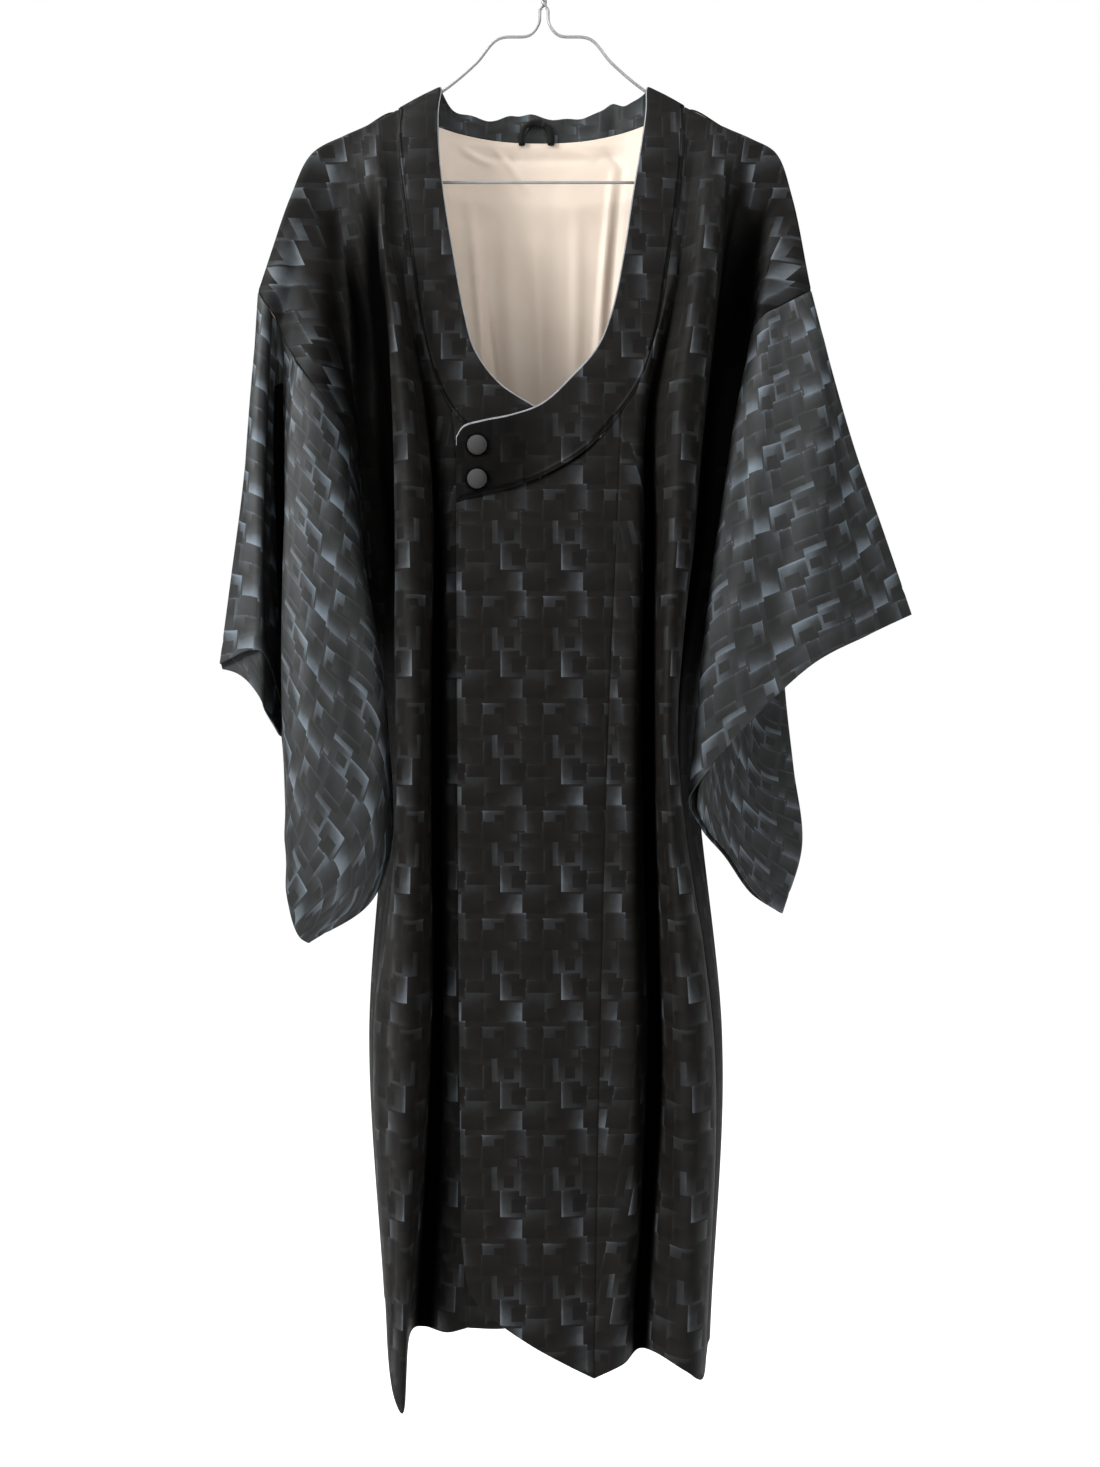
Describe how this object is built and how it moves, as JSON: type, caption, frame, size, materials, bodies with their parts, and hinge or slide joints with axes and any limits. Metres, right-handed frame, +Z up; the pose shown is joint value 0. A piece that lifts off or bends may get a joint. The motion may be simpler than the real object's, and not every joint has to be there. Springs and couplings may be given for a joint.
{
  "type": "kimono coat on a wire hanger",
  "caption": "Full-length kimono coat with wide hanging sleeves, a rounded bound neck and two covered buttons, hung flat on a wire hanger.",
  "frame": {"origin": "the inside top of the hanger's hook, where a rail carries it", "axes": "+Z up, +X towards the wearer's left, -Y out of the front of the coat"},
  "size_m": [0.6173, 0.15, 1.2885],
  "materials": {
    "brocade": "satin jacquard of overlapping rectangles, charcoal with blue-grey edges",
    "lining": "plain cream satin",
    "button_cloth": "satin cloth over a domed button",
    "wire": "galvanised wire, dull bright"
  },
  "bodies": {
    "root": {"front_left": "brocade", "front_right": "brocade", "back_left": "brocade", "back_right": "brocade", "sleeve_left": "brocade", "sleeve_right": "brocade", "overlap_left": "brocade", "overlap_right": "brocade", "collar_left": "brocade", "collar_right": "brocade", "collar_back": "brocade", "hanging_loop": "brocade", "lining_back": "lining", "button_upper": "button_cloth", "button_lower": "button_cloth", "hanger_hook": "wire", "hanger_neck": "wire", "hanger_arm_left": "wire", "hanger_arm_right": "wire", "hanger_bar": "wire"}
  },
  "joints": []
}
